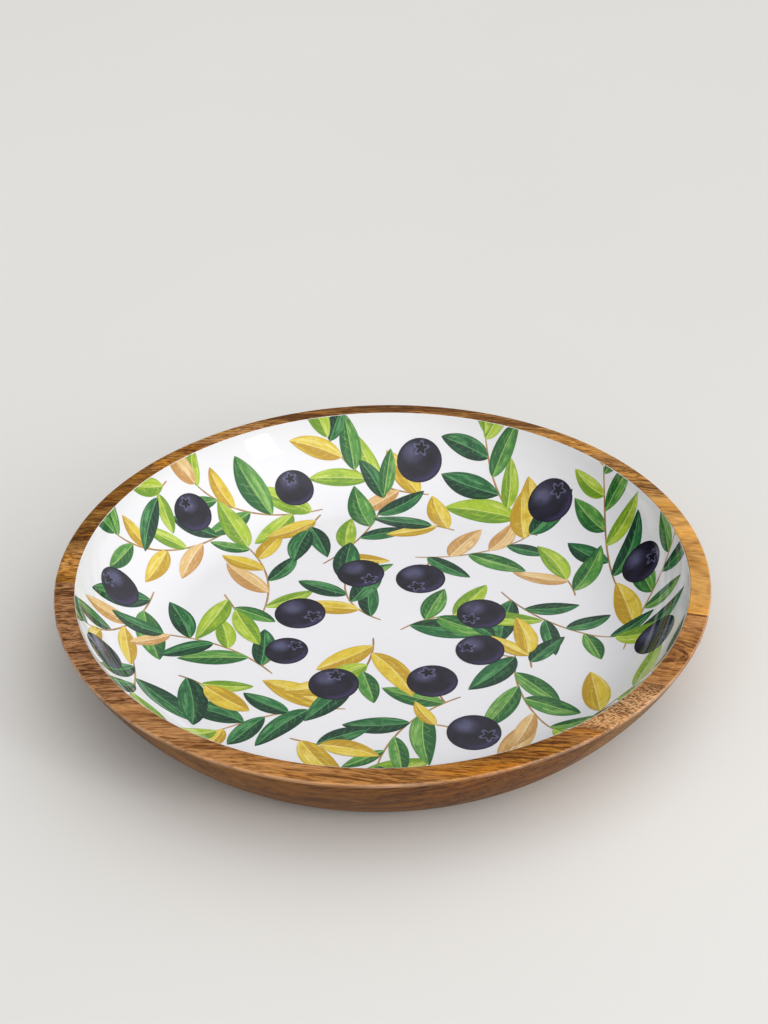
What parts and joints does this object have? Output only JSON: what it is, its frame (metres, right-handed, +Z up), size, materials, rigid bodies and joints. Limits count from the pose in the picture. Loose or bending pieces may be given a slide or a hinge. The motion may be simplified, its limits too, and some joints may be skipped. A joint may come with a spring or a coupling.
{
  "type": "round platter",
  "caption": "Shallow round serving platter turned from edge-glued hardwood boards, with a bare wooden rim and a glossy white lacquered inside under a printed leaf and berry design.",
  "frame": {"origin": "middle of the flat base, on the surface the platter stands on", "axes": "+Z up along the turning axis; the boards and their grain run along X, and their glue joints are planes of constant Y"},
  "size_m": [0.3, 0.3, 0.044],
  "materials": {
    "brown_board": "satin oiled hardwood, mid brown with dark pores",
    "honey_board": "satin oiled hardwood, honey yellow",
    "figured_board": "satin oiled hardwood, figured brown",
    "russet_board": "satin oiled hardwood, orange brown with streaks",
    "white_lacquer": "white lacquer ground with a printed leaf and berry design",
    "clear_lacquer": "high-gloss clear lacquer"
  },
  "bodies": {
    "root": {"rear_board": "brown_board", "rear_middle_board": "honey_board", "front_middle_board": "figured_board", "front_board": "russet_board", "white_ground_coat": "white_lacquer", "clear_top_coat": "clear_lacquer"}
  },
  "joints": []
}
